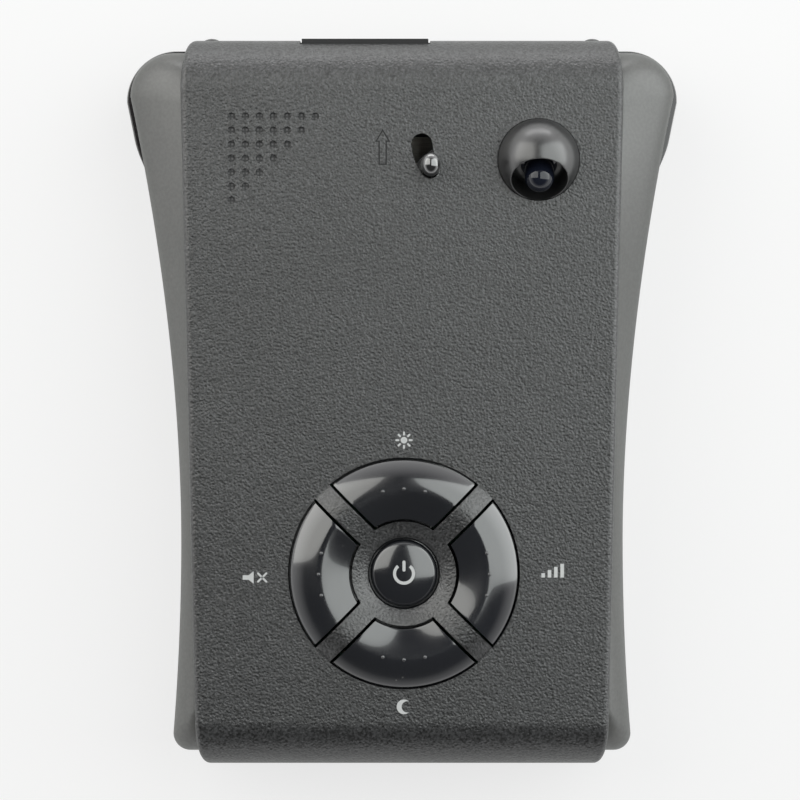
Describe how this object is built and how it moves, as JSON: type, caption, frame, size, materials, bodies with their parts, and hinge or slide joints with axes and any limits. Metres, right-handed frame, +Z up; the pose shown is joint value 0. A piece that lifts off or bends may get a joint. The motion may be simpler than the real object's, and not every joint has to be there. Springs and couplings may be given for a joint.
{
  "type": "radar detector",
  "caption": "Windscreen radar detector: waisted housing under a strap cover, speaker grille, bracket release lever, hooded light sensor and a ring of push buttons.",
  "frame": {"origin": "centre of the underside", "axes": "+Y towards the windscreen end, +X to the driver's right, +Z up through the buttons"},
  "size_m": [0.0856, 0.1105, 0.0346],
  "materials": {
    "cover_grain": "fine sparkle-grained black plastic",
    "housing_satin": "satin black plastic",
    "infrared_window": "polished infrared-passing dark plastic",
    "display_window": "polished smoked plastic",
    "socket_black": "plain moulded black plastic",
    "hood_satin": "satin black plastic",
    "diode_dark": "dark clear resin",
    "lever_gloss": "polished black plastic",
    "spring_steel": "bright steel",
    "button_gloss": "polished dark plastic",
    "speaker_paper": "black paper cone",
    "board_green": "glass laminate with green solder mask",
    "horn_metal": "cast metal",
    "can_tinned": "tinned sheet",
    "switch_black": "black moulding",
    "display_grey": "grey display body",
    "screw_black_zinc": "black zinc"
  },
  "bodies": {
    "case": {"top_cover": "cover_grain", "upper_housing": "housing_satin", "lower_housing": "housing_satin", "front_lens": "infrared_window", "display_window": "display_window", "bracket_socket": "socket_black", "sensor_dome": "hood_satin", "sensor_lens": "diode_dark", "lever_clip": "spring_steel", "lever_spring": "spring_steel", "speaker": "speaker_paper", "main_board": "board_green", "horn_antenna": "horn_metal", "shield_can": "can_tinned", "laser_receiver": "switch_black", "display_module": "display_grey", "power_jack": "socket_black", "switch_centre": "switch_black", "switch_front": "switch_black", "switch_left": "switch_black", "switch_right": "switch_black", "switch_rear": "switch_black", "case_screw_front_left": "screw_black_zinc", "case_screw_front_right": "screw_black_zinc", "case_screw_rear_left": "screw_black_zinc", "case_screw_rear_right": "screw_black_zinc"},
    "button_front": {"button_front": "button_gloss"},
    "button_left": {"button_left": "button_gloss"},
    "button_right": {"button_right": "button_gloss"},
    "button_rear": {"button_rear": "button_gloss"},
    "button_centre": {"button_centre": "button_gloss"},
    "release_lever": {"release_lever": "lever_gloss"}
  },
  "joints": [
    {"name": "button_front_press", "type": "slide", "parent": "case", "child": "button_front", "axis": [0, 0, -1], "range_m": [0, 0.0005], "stiffness_N_per_m": 1500, "springref_m": -0.0003},
    {"name": "button_left_press", "type": "slide", "parent": "case", "child": "button_left", "axis": [0, 0, -1], "range_m": [0, 0.0005], "stiffness_N_per_m": 1500, "springref_m": -0.0003},
    {"name": "button_right_press", "type": "slide", "parent": "case", "child": "button_right", "axis": [0, 0, -1], "range_m": [0, 0.0005], "stiffness_N_per_m": 1500, "springref_m": -0.0003},
    {"name": "button_rear_press", "type": "slide", "parent": "case", "child": "button_rear", "axis": [0, 0, -1], "range_m": [0, 0.0005], "stiffness_N_per_m": 1500, "springref_m": -0.0003},
    {"name": "button_centre_press", "type": "slide", "parent": "case", "child": "button_centre", "axis": [0, 0, -1], "range_m": [0, 0.0005], "stiffness_N_per_m": 1500, "springref_m": -0.0003},
    {"name": "lever_swing", "type": "hinge", "parent": "case", "child": "release_lever", "pos_m": [0.00975, 0.0391, 0.024], "axis": [0, 0, -1], "range_deg": [0, 33], "stiffness_Nm_per_rad": 0.01, "springref_deg": -11.46}
  ]
}
